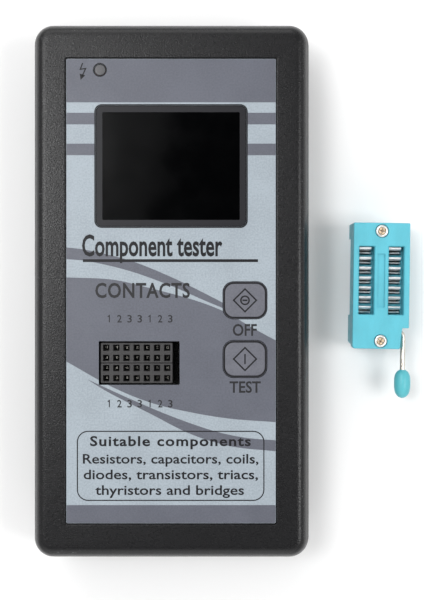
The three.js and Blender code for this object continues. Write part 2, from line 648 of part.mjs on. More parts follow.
const group = new THREE.Group();
group.add(tester, adapter);
export default group;
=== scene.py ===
"""Looks of a handheld component tester and its plug-in ZIF socket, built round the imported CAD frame.

Shapes are written in millimetres, in the frame's own axes, and turned into metres when a piece is made.
"""

import json
import math
import random

import bmesh
import bpy
from mathutils import Matrix, Vector


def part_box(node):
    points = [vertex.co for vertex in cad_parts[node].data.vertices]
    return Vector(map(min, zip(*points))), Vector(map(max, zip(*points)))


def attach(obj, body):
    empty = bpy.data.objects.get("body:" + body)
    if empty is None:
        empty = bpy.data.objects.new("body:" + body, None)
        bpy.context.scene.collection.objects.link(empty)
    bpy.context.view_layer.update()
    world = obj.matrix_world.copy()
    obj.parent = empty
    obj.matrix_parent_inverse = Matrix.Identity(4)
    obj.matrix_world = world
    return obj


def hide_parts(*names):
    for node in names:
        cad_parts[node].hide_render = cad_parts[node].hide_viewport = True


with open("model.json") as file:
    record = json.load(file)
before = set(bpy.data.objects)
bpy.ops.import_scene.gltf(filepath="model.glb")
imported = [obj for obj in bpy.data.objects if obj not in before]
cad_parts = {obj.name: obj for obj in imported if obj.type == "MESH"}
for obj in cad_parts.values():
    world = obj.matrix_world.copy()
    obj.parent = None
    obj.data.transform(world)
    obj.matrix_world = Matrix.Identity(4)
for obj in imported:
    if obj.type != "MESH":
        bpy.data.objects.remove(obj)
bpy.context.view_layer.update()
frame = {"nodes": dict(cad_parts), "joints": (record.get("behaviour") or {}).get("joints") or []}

MM = 0.001
random.seed(7)


# ---- places taken from the frame
def span(node):
    """A CAD node's lowest and highest corners, in millimetres."""
    low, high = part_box(node)
    return low / MM, high / MM


def middle(node):
    """The x and y of a CAD node's middle."""
    low, high = span(node)
    return (low.x + high.x) / 2, (low.y + high.y) / 2


def footprint(node):
    """A CAD node's width and length."""
    low, high = span(node)
    return high.x - low.x, high.y - low.y


FRONT_LOW, FRONT_HIGH = span("front_cover")
REAR_HIGH = span("rear_cover")[1]
FILM_LOW, FILM_HIGH = span("front_overlay")
WINDOW_LOW, WINDOW_HIGH = span("display_window")
CELL_LOW, CELL_HIGH = span("battery_cell")
CELL_Y = (CELL_LOW.y + CELL_HIGH.y) / 2
CELL_Z = (CELL_LOW.z + CELL_HIGH.z) / 2
DOOR_LOW, DOOR_HIGH = span("battery_door")

CASE_WIDTH, CASE_LENGTH = footprint("front_cover")
CASE_TOP = FRONT_HIGH.z
SPLIT_UP = FRONT_LOW.z  # the front cover's lower edge
SPLIT_DOWN = CASE_TOP - SPLIT_UP  # the rear cover's upper edge, the same gap below the joint

# sizes that the case, film and sockets share with the CAD model
CASE_JOINT = 12.5  # height of the joint between the covers
CASE_CORNER = 5.2
CASE_EDGE = 3.9  # how far the flat face lies inside the outline
CASE_BELLY = 3  # exponent of the sides' superellipse
WALL = 2.0
INNER_ROUND = 1.8
RECESS_FLOOR = CASE_TOP - 0.6
FACE_INSIDE = RECESS_FLOOR - WALL
LIP = 1.15  # how far the rear cover reaches up inside the front cover
RECESS = (52.8, 116.4)
SCREEN = (34.3, 26.9)
PORT = (-7.95, -17.95, 20.2, 10.9)  # the test headers' opening: middle, width and length
KEY_CLEARANCE = 0.15
KEY_CORNER = 2.6
LAMP_BORE = 1.7
LAMP_WINDOW = 1.45
HEADERS = ("upper_test_header", "lower_test_header")
PIN_PITCH = 2.54
PIN_COLUMNS = range(-3, 4)
PRINT = 0.012  # thickness of one layer of ink
SCREW_NUMBERS = range(1, 5)
SCREW_POST = 2.9
BOARD_POST = 2.5
BOARD_TOP = 16.2
LEAD_END = 17.2
BAY = (28.4, 10.1)  # half the battery bay's width and length, outside
BAY_INSIDE = (27, 8.7)
DOOR_HALF = 28.7
TONGUE_HALF = 29.65
TONGUE_LOW, DOOR_THICK = 0.9, 1.7

# the ZIF adapter's own axes: its hinge gives its place and how it is turned
LEVER_X, LEVER_Y, LEVER_Z = 6.45, -13.34, 9.4
HINGE = next(j for j in frame["joints"] if j["name"] == "zif_lever_turn")
ZIF_PLACE = (
    Matrix.Translation(Vector(HINGE["pos_m"]) / MM)
    @ Matrix.Rotation(math.atan2(-HINGE["axis"][1], -HINGE["axis"][0]), 4, "Z")
    @ Matrix.Translation((0, -LEVER_Y, -LEVER_Z))
)
ZIF_WIDE = 7.3  # half its width
ZIF_ROW = 3.81  # from its middle to a row of contacts


# ---- outlines
def rounded(x, y, width, length, corner, steps=8):
    """A rounded rectangle's points, anticlockwise."""
    points = []
    for quarter, (sx, sy) in enumerate([(1, 1), (-1, 1), (-1, -1), (1, -1)]):
        cx = x + sx * (width / 2 - corner)
        cy = y + sy * (length / 2 - corner)
        for i in range(steps + 1):
            a = (quarter + i / steps) * math.pi / 2
            points.append((cx + corner * math.cos(a), cy + corner * math.sin(a)))
    return points


def inset_box(x, y, width, length, corner, steps, pull=1.0):
    """A rounded rectangle as a function of the inset, which also takes pull times as much off the corner."""
    return lambda inset: rounded(x, y, width - 2 * inset, length - 2 * inset, corner - inset * pull, steps)


def circle(x, y, radius, sides=32):
    turns = [2 * math.pi * i / sides for i in range(sides)]
    return [(x + radius * math.cos(a), y + radius * math.sin(a)) for a in turns]


def softened(corners, radius, steps=4):
    """An outline with each of its corners rounded off."""
    points = []
    count = len(corners)
    for i, corner in enumerate(corners):
        here = Vector(corner)
        back = (Vector(corners[i - 1]) - here).normalized() * radius
        ahead = (Vector(corners[(i + 1) % count]) - here).normalized() * radius
        for k in range(steps + 1):
            t = k / steps
            points.append(tuple(here + back * (1 - t) ** 2 + ahead * t**2))
    return points


def smooth_through(points, steps=8):
    """A smooth curve through a few points."""
    p = [Vector(q) for q in points]
    p = [p[0] * 2 - p[1], *p, p[-1] * 2 - p[-2]]
    curve = []
    for a, b, c, d in zip(p, p[1:], p[2:], p[3:]):
        square, cube = 2 * a - 5 * b + 4 * c - d, 3 * b - a - 3 * c + d
        for i in range(steps):
            t = i / steps
            curve.append(0.5 * (2 * b + (c - a) * t + square * t**2 + cube * t**3))
    return [*curve, p[-2]]


def quarter_turn(steps):
    return [math.pi / 2 * i / steps for i in range(steps + 1)]


def fillet(size, z_side, z_face, steps=10):
    """(inset, z) along a quarter round from an upright side to a level face."""
    return [(size * (1 - math.cos(a)), z_side + (z_face - z_side) * math.sin(a)) for a in quarter_turn(steps)]


# ---- solids
def walls(solid, loops, closed=False):
    """Adds the faces between loops of equally many points, and returns the loops' vertices."""
    rings = [[solid.verts.new(point) for point in loop] for loop in loops]
    pairs = list(zip(rings, rings[1:]))
    if closed:
        pairs.append((rings[-1], rings[0]))
    for low, high in pairs:
        for i in range(len(low)):
            k = (i + 1) % len(low)
            solid.faces.new((low[i], low[k], high[k], high[i]))
    return rings


def loft(loops, closed=False):
    """Joins loops of equally many points. Anticlockwise loops that go upwards face outwards."""
    solid = bmesh.new()
    rings = walls(solid, loops, closed)
    if not closed:
        solid.faces.new(list(reversed(rings[0])))
        solid.faces.new(rings[-1])
    return solid


def at(points, z):
    return [(x, y, z) for x, y in points]


def stacked(outline, profile):
    """A solid whose outline, a function of the inset, follows (inset, z) upwards."""
    return loft([at(outline(inset), z) for inset, z in profile])


def prism(points, z0, z1):
    return loft([at(points, z0), at(points, z1)])


def block(x0, x1, y0, y1, z0, z1):
    return prism([(x1, y1), (x0, y1), (x0, y0), (x1, y0)], z0, z1)


def post(x, y, half_width, half_length, z0, z1):
    return block(x - half_width, x + half_width, y - half_length, y + half_length, z0, z1)


def rod(x, y, radius, z0, z1, sides=32):
    return prism(circle(x, y, radius, sides), z0, z1)


def eased(outline, z0, z1, low, high):
    """A solid with upright sides, whose edges are cut by low at its foot and by high at its top."""
    return stacked(outline, [(low, z0), (0, z0 + low), (0, z1 - high), (high, z1)])


def ring(outer, inner, z0, z1):
    """A flat frame between two outlines of equally many points."""
    return loft([at(outer, z0), at(outer, z1), at(inner, z1), at(inner, z0)], closed=True)


def turned(profile, sides, x=0.0, y=0.0):
    """A solid of revolution round an upright axis: (radius, z) pairs, upwards, from the axis to the axis."""
    solid = bmesh.new()
    rings = walls(solid, [at(circle(x, y, radius, sides), z) for radius, z in profile[1:-1]])
    bottom = solid.verts.new((x, y, profile[0][1]))
    top = solid.verts.new((x, y, profile[-1][1]))
    for i in range(sides):
        k = (i + 1) % sides
        solid.faces.new((bottom, rings[0][k], rings[0][i]))
        solid.faces.new((top, rings[-1][i], rings[-1][k]))
    return solid


def swept(path, radius, sides):
    """A wire of round section along a path."""
    points = [Vector(p) for p in path]
    legs = [(b - a).normalized() for a, b in zip(points, points[1:])]
    tangents = [legs[0], *[(a + b).normalized() for a, b in zip(legs, legs[1:])], legs[-1]]
    side = legs[0].orthogonal().normalized()
    loops = []
    for point, along in zip(points, tangents):
        side = (side - along * side.dot(along)).normalized()
        up = along.cross(side)
        loops.append([point + (side * c + up * s) * radius for c, s in circle(0, 0, 1, sides)])
    return loft(loops)


def setup(thing, **values):
    for name, value in values.items():
        setattr(thing, name, value)
    return thing


def moved(solid, matrix):
    bmesh.ops.transform(solid, matrix=matrix, verts=solid.verts)
    return solid


def laid(solid, place, axis):
    """Lays an upright solid down by a quarter turn about an axis, and moves its foot to a place."""
    return moved(solid, Matrix.Translation(place) @ Matrix.Rotation(math.pi / 2, 4, axis))


def as_mesh(name, solid):
    mesh = bpy.data.meshes.new(name)
    solid.to_mesh(mesh)
    solid.free()
    return mesh


def placed(name, data):
    """A new object in the scene."""
    holder = bpy.data.objects.new(name, data)
    bpy.context.scene.collection.objects.link(holder)
    return holder


def evaluated(holder):
    """The mesh that an object's curve or modifiers come to."""
    return bpy.data.meshes.new_from_object(holder.evaluated_get(bpy.context.evaluated_depsgraph_get()))


def together(*solids):
    """Separate solids in one mesh."""
    whole = bmesh.new()
    for solid in solids:
        mesh = as_mesh("part", solid)
        whole.from_mesh(mesh)
        bpy.data.meshes.remove(mesh)
    return whole


def boolean(base, tool, operation, overlapping=False):
    holders = [placed("shape", as_mesh("shape", solid)) for solid in (base, tool)]
    modifier = holders[0].modifiers.new("boolean", "BOOLEAN")
    setup(modifier, object=holders[1], operation=operation, solver="EXACT", use_self=overlapping)
    result = bmesh.new()
    meshes = [evaluated(holders[0]), *[holder.data for holder in holders]]
    result.from_mesh(meshes[0])
    for holder in holders:
        bpy.data.objects.remove(holder)
    for mesh in meshes:
        bpy.data.meshes.remove(mesh)
    bmesh.ops.dissolve_degenerate(result, dist=1e-4, edges=result.edges)
    return result


def minus(base, *tools):
    return boolean(base, together(*tools), "DIFFERENCE", overlapping=len(tools) > 1)


def plus(base, *tools):
    return boolean(base, together(*tools), "UNION", overlapping=len(tools) > 1)


def make(name, solid, body, material, replaces=(), sharp=38, bevel=0.0, weighted=True):
    """Turns a solid into a piece that rides on a CAD body. The ZIF adapter's are shaped in its own axes."""
    if body.startswith("zif"):
        moved(solid, ZIF_PLACE)
    bmesh.ops.recalc_face_normals(solid, faces=solid.faces)
    mesh = as_mesh(name, moved(solid, Matrix.Scale(MM, 4)))
    mesh.shade_smooth()
    mesh.set_sharp_from_angle(angle=math.radians(sharp))
    mesh.materials.append(material)
    piece = placed(name, mesh)
    if bevel:
        edge = setup(piece.modifiers.new("edge", "BEVEL"), width=bevel * MM, segments=2)
        setup(edge, limit_method="ANGLE", angle_limit=math.radians(50), use_clamp_overlap=True)
    if weighted:
        piece.modifiers.new("normals", "WEIGHTED_NORMAL").keep_sharp = True
    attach(piece, body)
    if replaces:
        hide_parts(*replaces)
    return piece


def make_flat(name, solid, material, body="tester"):
    """A piece of level faces, whose normals are left as they are."""
    make(name, solid, body, material, weighted=False)


# ---- materials
def add_node(tree, kind, inputs, output=0, **settings):
    """Adds a shader node and returns one of its outputs. Each input is a value or another node's output."""
    node = setup(tree.nodes.new("ShaderNode" + kind), **settings)
    for socket, value in inputs.items():
        if isinstance(value, bpy.types.NodeSocket):
            tree.links.new(value, node.inputs[socket])
        else:
            node.inputs[socket].default_value = value
    return node.outputs[output]


def faded(tree, value, low, high, at_low=0.0, at_high=1.0):
    """value's stretch from low to high, spread smoothly over at_low to at_high."""
    inputs = {"Value": value, "From Min": low, "From Max": high, "To Min": at_low, "To Max": at_high}
    return add_node(tree, "MapRange", inputs, interpolation_type="SMOOTHSTEP")


class Look:
    """A Principled material with patterns that are fixed to the piece, in millimetres."""

    def __init__(self, name, color, roughness, metallic=0.0, **sockets):
        self.material = bpy.data.materials.new(name)
        self.material.use_nodes = True
        self.tree = self.material.node_tree
        self.shader = self.tree.nodes["Principled BSDF"]
        self.color = color
        sockets.update({"Base Color": (*color, 1), "Roughness": roughness, "Metallic": metallic})
        for socket, value in sockets.items():
            self.shader.inputs[socket.replace("_", " ")].default_value = value
        coordinates = self.add("TexCoord", {}, "Object")
        self.place = self.add("VectorMath", {0: coordinates, "Scale": 1 / MM}, operation="SCALE")

    def add(self, *rest, **settings):
        return add_node(self.tree, *rest, **settings)

    def both(self, a, b):
        return self.add("Math", {0: a, 1: b}, operation="MULTIPLY")

    def drive(self, socket, value):
        self.tree.links.new(value, self.shader.inputs[socket])

    def noise(self, size, detail=2.0, stretch=(1, 1, 1)):
        """Noise whose features are about size millimetres across, drawn out along the axes by stretch."""
        scaled = self.add("Mapping", {"Vector": self.place, "Scale": [1 / (size * s) for s in stretch]})
        return self.add("TexNoise", {"Vector": scaled, "Scale": 1, "Detail": detail}, "Fac")

    def cells(self, size, feature="F1"):
        return self.add("TexVoronoi", {"Vector": self.place, "Scale": 1 / size}, "Distance", feature=feature)

    def axis(self, name):
        """The place along one axis, in millimetres."""
        return self.add("SeparateXYZ", {0: self.place}, name)

    def fade(self, *rest):
        return faded(self.tree, *rest)

    def plus(self, a, b):
        return self.add("Math", {0: a, 1: b}, operation="ADD")

    def with_half(self, a, b):
        """a with half of b added to it."""
        return self.plus(a, self.both(b, 0.5))

    def blend(self, factor, low, high):
        """A colour between two, each a triple or a colour socket."""
        low, high = ((*color, 1) if isinstance(color, tuple) else color for color in (low, high))
        return self.add("Mix", {"Factor": factor, 6: low, 7: high}, 2, data_type="RGBA")

    def tinted(self, factor, low, high):
        """The material's own colour, brightened by low to high as factor goes from 0 to 1."""
        dark, light = (tuple(c * share for c in self.color) for share in (low, high))
        return self.blend(factor, dark, light)

    def paint(self, color):
        self.drive("Base Color", color)

    def rough(self, factor, low, high):
        self.drive("Roughness", self.fade(factor, 0.3, 0.7, low, high))

    def bump(self, height, depth, strength=1.0):
        """Adds relief of about depth millimetres, and returns the finished material."""
        relief = self.add("Bump", {"Height": height, "Strength": strength, "Distance": depth * MM})
        self.drive("Normal", relief)
        return self.material


def moulded_black(name, wear_and_glints=False):
    """Black ABS with a fine spark-eroded grain. With wear_and_glints, lighter specks along the upper rounded
    edge are partly rubbed wear and partly painted highlight glints.
    """
    look = Look(name, (0.0075, 0.0075, 0.0083), 0.34, Specular_IOR_Level=0.34)
    height = look.axis("Z")
    color = look.tinted(look.fade(look.noise(0.28, 3), 0.35, 0.68), 0.85, 1.3)
    if wear_and_glints:
        # painted highlight: the lighter specks along the upper rounded edge stand partly for rubbed wear,
        # partly for glints of light on the edge
        band = look.both(look.fade(height, 22.9, 24.2), look.fade(height, 24.99, 24.7))
        specks = look.fade(look.noise(0.5, 3), 0.63, 0.7)
        patches = look.fade(look.noise(9), 0.45, 0.62)
        rubbed_and_glinting = look.both(look.both(band, specks), patches)
        color = look.blend(rubbed_and_glinting, color, (0.08, 0.08, 0.083))
    look.paint(color)
    coarse = look.fade(height, 18, 24.3, 0.42, 0)
    polish = look.fade(look.noise(0.3), 0.3, 0.7, 0.26, 0.32)
    look.drive("Roughness", look.plus(polish, coarse))
    relief = look.with_half(look.noise(0.32, 4), look.cells(0.36))
    return look.bump(relief, 0.045, 0.85)


def printed_film(name, color, roughness=0.42):
    """Satin polycarbonate film: a slightly uneven print under a very fine surface grain."""
    look = Look(name, color, roughness)
    mottle = look.with_half(look.noise(0.42, 3), look.noise(11))
    look.paint(look.tinted(look.fade(mottle, 0.5, 1.0), 0.89, 1.11))
    look.rough(look.noise(2.5), roughness - 0.04, roughness + 0.05)
    return look.bump(look.noise(0.22, 3), 0.006, 0.4)


def ink(name, color, gloss=0.28):
    look = Look(name, color, 0.4, Specular_IOR_Level=gloss)
    look.paint(look.tinted(look.noise(0.3), 0.7, 1.35))
    return look.bump(look.noise(0.2), 0.004, 0.4)


def dark_pane():
    """The window over the switched-off display, through which nothing shows."""
    look = Look("dark_pane", (0.0006, 0.0007, 0.0009), 0.04, IOR=1.5)
    look.rough(look.noise(6, 3), 0.07, 0.1)
    return look.bump(look.noise(9), 0.01, 0.2)


def dark_display():
    """A switched-off display: near-black glass with a faint structure of lines."""
    look = Look("dark_display", (0.0005, 0.0006, 0.0008), 0.05, IOR=1.5)
    lines = look.noise(0.3, 1, stretch=(20, 1, 1))
    look.paint(look.tinted(lines, 0.6, 1.5))
    look.rough(look.noise(5), 0.04, 0.06)
    return look.material


def turquoise(name, color):
    """Satin glass-filled plastic with faint flow marks."""
    look = Look(name, color, 0.42)
    flow = look.with_half(look.noise(3.5, 4, stretch=(1, 2.5, 1)), look.noise(0.3))
    look.paint(look.tinted(look.fade(flow, 0.45, 1.05), 0.92, 1.07))
    look.rough(look.noise(1.2, 3), 0.36, 0.5)
    return look.bump(look.noise(0.3, 4), 0.012, 0.5)


def metal(name, color, roughness=0.3, stretch=(1, 8, 1), size=0.25):
    """Drawn or rolled metal with fine lines along it."""
    look = Look(name, color, roughness, metallic=1.0)
    lines = look.noise(size, detail=4, stretch=stretch)
    look.paint(look.tinted(look.fade(lines, 0.3, 0.75), 0.82, 1.08))
    look.rough(lines, roughness - 0.08, roughness + 0.12)
    return look.bump(lines, 0.006, 0.5)


def plastic(name, color, roughness, tint, polish, relief):
    """An even plastic. Each of the last three is a noise's size and detail, then what it does."""
    look = Look(name, color, roughness)
    look.paint(look.tinted(look.noise(*tint[:2]), *tint[2:]))
    look.rough(look.noise(*polish[:2]), *polish[2:])
    return look.bump(look.noise(*relief[:2]), *relief[2:])


def circuit_board(name, color, track):
    """Solder mask over copper: paler tracks and filled areas show through it."""
    look = Look(name, color, 0.3)
    tracks = look.fade(look.cells(3.2, "DISTANCE_TO_EDGE"), 0.05, 0.09)
    weave = look.noise(0.25)
    look.paint(look.blend(tracks, look.tinted(weave, 0.85, 1.15), track))
    look.rough(weave, 0.22, 0.38)
    return look.bump(tracks, 0.03, 0.5)


def cell_wrap():
    """Shrink wrap: plain green, with a dark band towards the positive end."""
    look = Look("cell_wrap", (0.02, 0.19, 0.08), 0.28)
    along = look.axis("X")
    band = look.both(look.fade(along, 14.9, 15), look.fade(along, 21.1, 21))
    base = look.tinted(look.noise(4, 3), 0.88, 1.12)
    look.paint(look.blend(band, base, (0.015, 0.016, 0.018)))
    look.rough(look.noise(2), 0.22, 0.36)
    return look.bump(look.noise(3, 3), 0.03, 0.4)


INSULATION = (1.5, 3, 0.85, 1.15), (1, 2, 0.3, 0.45), (0.4, 2, 0.01, 0.4)
FROSTED = (0.4, 3, 0.85, 1.15), (0.3, 2, 0.38, 0.55), (0.2, 3, 0.01, 0.6)
GLASS_FILLED = (0.5, 3, 0.65, 1.5), (0.8, 3, 0.36, 0.56), (0.3, 4, 0.015, 0.5)
GRITTY = (0.4, 4, 0.7, 1.4), (0.7, 2, 0.45, 0.65), (0.25, 5, 0.02, 0.6)
EVENLY = (1, 1, 1)  # a metal with no direction of drawing

CASE = moulded_black("case_abs", wear_and_glints=True)
CASE_PLAIN = moulded_black("case_abs_inner")
FILM_LIGHT = printed_film("film_light", (0.306, 0.352, 0.392))
FILM_DARK = printed_film("film_dark", (0.095, 0.101, 0.127))
KEY_FACE = printed_film("key_face", (0.116, 0.119, 0.143), 0.38)
INK = ink("ink_dark", (0.005, 0.005, 0.007))
INK_SOFT = ink("ink_soft", (0.011, 0.011, 0.013), 0.36)
WINDOW_INK = ink("window_ink", (0.006, 0.006, 0.009), 0.33)
PANE = dark_pane()
DISPLAY = dark_display()
CONNECTOR = plastic("connector_black", (0.024, 0.023, 0.024), 0.48, *GLASS_FILLED)
EPOXY = plastic("moulded_epoxy", (0.018, 0.018, 0.019), 0.55, *GRITTY)
MAIN_BOARD = circuit_board("black_board", (0.006, 0.007, 0.008), (0.014, 0.016, 0.018))
RED_BOARD = circuit_board("red_board", (0.16, 0.012, 0.012), (0.27, 0.03, 0.025))
TIN = metal("tinned_metal", (0.68, 0.69, 0.7), 0.28)
# the sockets' springs get a darker metal than the tinned parts: painted shade deep inside the sockets
SHADED_SPRING_METAL = metal("socket_spring_painted_shade", (0.34, 0.33, 0.3), 0.36)
STEEL = metal("nickel_steel", (0.52, 0.52, 0.52), 0.3)
LEVER_STEEL = metal("lever_steel", (0.74, 0.71, 0.64), 0.24, (1, 40, 1), 0.12)
EYELET = metal("eyelet", (0.88, 0.87, 0.84), 0.36, EVENLY, 0.9)
TAN_BRASS = metal("tan_brass", (0.8, 0.63, 0.44), 0.46, EVENLY, 0.7)
LEAF = metal("contact_leaf", (0.82, 0.84, 0.85), 0.36, (8, 1, 1), 0.2)
TURQUOISE = turquoise("turquoise", (0.098, 0.468, 0.572))
GRIP = turquoise("turquoise_grip", (0.09, 0.45, 0.51))
WRAP = cell_wrap()
RED_WIRE = plastic("red_wire", (0.35, 0.012, 0.012), 0.38, *INSULATION)
BLACK_WIRE = plastic("black_wire", (0.012, 0.012, 0.013), 0.38, *INSULATION)
LENS = plastic("frosted_lens", (0.088, 0.087, 0.092), 0.45, *FROSTED)
LAMP = plastic("red_lamp", (0.45, 0.02, 0.015), 0.3, *FROSTED)


# ---- the case
def case_outline(inset):
    corner = max(CASE_CORNER - inset, 1.3)
    return rounded(0, 0, CASE_WIDTH - 2 * inset, CASE_LENGTH - 2 * inset, corner, 12)


def case_profile():
    """(inset, height over the joint) of the sides, a superellipse from the joint to the flat face."""
    profile = []
    for degrees in (4, 9, 15, 22, 30, 38, 46, 53, 59, 65, 70, 74, 78, 81, 84, 86.5, 88.5, 90):
        a = math.radians(degrees)
        inset = CASE_EDGE * (1 - abs(math.cos(a)) ** (2 / CASE_BELLY))
        profile.append((inset, CASE_JOINT * math.sin(a) ** (2 / CASE_BELLY)))
    return profile


def cavity(z0, z1, low_round, high_round):
    """The space inside the case's walls."""
    low = reversed(fillet(INNER_ROUND, z0 + INNER_ROUND, z0)) if low_round else [(0, z0)]
    high = fillet(INNER_ROUND, z1 - INNER_ROUND, z1) if high_round else [(0, z1)]
    return stacked(case_outline, [(WALL + i, z) for i, z in [*low, *high]])


def openings_in_face(z0, z1, lamp_radius):
    """Cutters for what the face is open for: the keys, the lamp and the test headers."""
    outlines = []
    for name in ("off_key", "test_key"):
        size = [side + 2 * KEY_CLEARANCE for side in footprint(name)]
        outlines.append(rounded(*middle(name), *size, KEY_CORNER + KEY_CLEARANCE))
    outlines += [circle(*middle("charge_lens"), lamp_radius, 40), rounded(*PORT, 0.25, 4)]
    return [prism(outline, z0, z1) for outline in outlines]


def screen_cutter():
    """The display's opening, with its upper edge eased."""
    edge = [(-i, z) for i, z in fillet(0.35, RECESS_FLOOR - 0.35, RECESS_FLOOR, 4)]
    outline = inset_box(*middle("display_window"), *SCREEN, 0.5, 4, pull=0)
    return stacked(outline, [(0.0, FACE_INSIDE - 1), *edge, (-0.35, CASE_TOP + 1)])


def columns(kind, radius, z0, z1, sides=32):
    """Round columns that stand at each of the four screws of a kind."""
    return [rod(*middle(f"{kind}_{i}"), radius, z0, z1, sides) for i in SCREW_NUMBERS]


def front_cover():
    side = [(i, CASE_JOINT + z) for i, z in case_profile()]
    loops = [at(case_outline(i), z) for i, z in [(0.2, SPLIT_UP), (0.0, SPLIT_UP + 0.2), *side]]
    recess = inset_box(0, 0, *RECESS, 0.4, 12)
    rim = [(-0.25, CASE_TOP), (-0.08, CASE_TOP - 0.06), (0, CASE_TOP - 0.2), (0, RECESS_FLOOR)]
    loops += [at(recess(i), z) for i, z in rim]
    shell = minus(loft(loops), cavity(SPLIT_UP - 5, FACE_INSIDE, False, True))
    shell = minus(shell, prism(case_outline(0.9), SPLIT_UP - 1, SPLIT_UP + LIP))
    rooted, bottom = FACE_INSIDE + 0.5, FACE_INSIDE - 1
    posts = columns("case_screw", SCREW_POST, SPLIT_UP, rooted)
    shell = plus(shell, *posts, *columns("board_screw", BOARD_POST, BOARD_TOP, rooted))
    pilots = columns("case_screw", 1.2, SPLIT_UP - 1, bottom, 16) + columns("board_screw", 0.9, 15, bottom, 16)
    low, high = span("charge_socket")
    slot = prism(rounded(0, 0, high.x - low.x + 0.8, high.z - low.z + 0.7, 0.8, 5), -3, 3)
    slot = laid(slot, ((low.x + high.x) / 2, CASE_LENGTH / 2, (low.z + high.z) / 2), "X")
    openings = openings_in_face(bottom, CASE_TOP + 1, LAMP_BORE)
    shell = minus(shell, *pilots, slot, screen_cutter(), *openings)
    make("front_cover_shell", shell, "tester", CASE, ["front_cover"])


def door_plate(grow):
    """The space that the battery door takes up: its plate and the tongues along its sides."""
    ends = (-CASE_LENGTH, DOOR_HIGH.y + grow)
    top = DOOR_THICK + grow
    plate = block(-DOOR_HALF - grow, DOOR_HALF + grow, *ends, -1, top)
    tongues = block(-TONGUE_HALF - grow, TONGUE_HALF + grow, *ends, TONGUE_LOW - grow, top)
    return plate, tongues


def rear_body():
    profile = [(i, CASE_JOINT - z) for i, z in reversed(case_profile())]
    return stacked(case_outline, [*profile, (0.0, SPLIT_DOWN - 0.2), (0.2, SPLIT_DOWN)])


def rear_cover():
    shell = plus(rear_body(), prism(case_outline(1.0), SPLIT_DOWN - 1.5, SPLIT_DOWN + LIP))
    shell = minus(shell, cavity(WALL, SPLIT_DOWN + 5, True, False))
    inside, y = WALL - 0.5, CELL_Y
    bay = post(0, y, *BAY, inside, REAR_HIGH.z)
    ledge = block(-31, 31, -66, DOOR_HIGH.y + 2, inside, 3.3)
    feet = columns("case_screw", 4.2, inside, 5.6, 40)
    posts = columns("case_screw", SCREW_POST, 5, SPLIT_DOWN)
    shell = plus(shell, bay, ledge, *feet, *posts)
    bores = []
    for place in (middle(f"case_screw_{i}") for i in SCREW_NUMBERS):
        sink = [(3.3, -1), (3.3, 0), (3.0, 0.3), (3.0, 4)]
        bores.append(loft([at(circle(*place, radius, 40), z) for radius, z in sink]))
        bores.append(rod(*place, 1.7, 3, 14, 24))
    slots = [post(x, y, 0.45, 5.2, 3.5, 20) for x in (-26.65, 26.65)]
    shell = minus(shell, *door_plate(0.15), post(0, y, *BAY_INSIDE, 0, 17.3))
    shell = minus(shell, *bores, *slots)
    make("rear_cover_shell", shell, "tester", CASE, ["rear_cover"])


def battery_door():
    plate, tongues = door_plate(0)
    door = boolean(rear_body(), plus(plate, tongues), "INTERSECT")
    front = DOOR_LOW.y
    ribs = [block(-7 + i, 7 - i, front + 6.9 + 1.8 * i, front + 7.8 + 1.8 * i, -1, 0.5) for i in range(5)]
    slots = [post(x, DOOR_HIGH.y - 3, 0.4, 4, -1, 5) for x in (-5.2, 5.2)]
    door = minus(door, *ribs, *slots)
    make("battery_door_plate", door, "battery_door", CASE_PLAIN, ["battery_door"])


# ---- the printed face
INK_LOW = FILM_HIGH.z
INK_MID = INK_LOW + PRINT
INK_TOP = INK_MID + PRINT
UNDER_LAYER = (INK_LOW - 0.002, INK_MID)
UPPER_LAYER = (INK_MID, INK_TOP)
FILM_X = (FILM_HIGH.x - FILM_LOW.x) / 2
FILM_Y = (FILM_HIGH.y - FILM_LOW.y) / 2
THROUGH_FILM = (20, 30)  # where cutters that go right through the film start and end


def window_hole(grow=0.0):
    size = [side + 0.2 + 2 * grow for side in footprint("display_window")]
    return rounded(*middle("display_window"), *size, 1.5 + grow, 8)


def film_openings(grow=0.0):
    return [prism(window_hole(grow), *THROUGH_FILM), *openings_in_face(*THROUGH_FILM, LAMP_WINDOW)]


def film():
    outline = inset_box(0, 0, 2 * FILM_X, 2 * FILM_Y, 0.35, 4)
    sheet = stacked(outline, [(0, FILM_LOW.z), (0, FILM_HIGH.z - 0.06), (0.06, FILM_HIGH.z)])
    sheet = minus(sheet, *film_openings())
    make("overlay_sheet", sheet, "tester", FILM_LIGHT, ["front_overlay"])


# the upper and lower edges of the printed swooshes, from left to right
SWOOSHES = [(
    [(-26.13, 10.9), (-20.18, 10.09), (-10.09, 7.57), (0, 3.53), (10.09, -1.41), (14.13, -3.63)],
    [(-26.13, 7.97), (-20.18, 7.37), (-10.09, 4.94), (0, 1.31), (8.07, -2.22), (14.13, -4.74)],
), (
    [(-26.13, 3.43), (-15.13, 2.93), (-7.06, 1.21), (5.04, -2.02), (13.12, -5.04), (20.18, -9.08),
     (26.13, -12.31)],
    [(-26.13, -17.56), (-15.13, -23.71), (-5.04, -27.85), (5.04, -30.27), (15.13, -31.88), (26.13, -32.69)],
), (
    [(-20.68, -22.1), (-10.09, -26.94), (0, -31.18), (10.09, -34.71), (18.16, -36.53), (26.13, -37.23)],
    [(-20.58, -22.25), (-15.13, -25.53), (-5.04, -30.67), (5.04, -35.72), (15.13, -38.75), (26.13, -39.96)],
)]
BANDS = [(47.1, FILM_Y), (41.6, 44.5), (33.9, 36.8), (-FILM_Y, -53.4)]


def swoosh(edges):
    upper, lower = (smooth_through([(x, y, 0) for x, y in edge]) for edge in edges)
    outline = [(p.x, p.y) for p in lower] + [(p.x, p.y) for p in reversed(upper)]
    return prism([(max(-FILM_X, min(FILM_X, x)), y) for x, y in outline], *UNDER_LAYER)


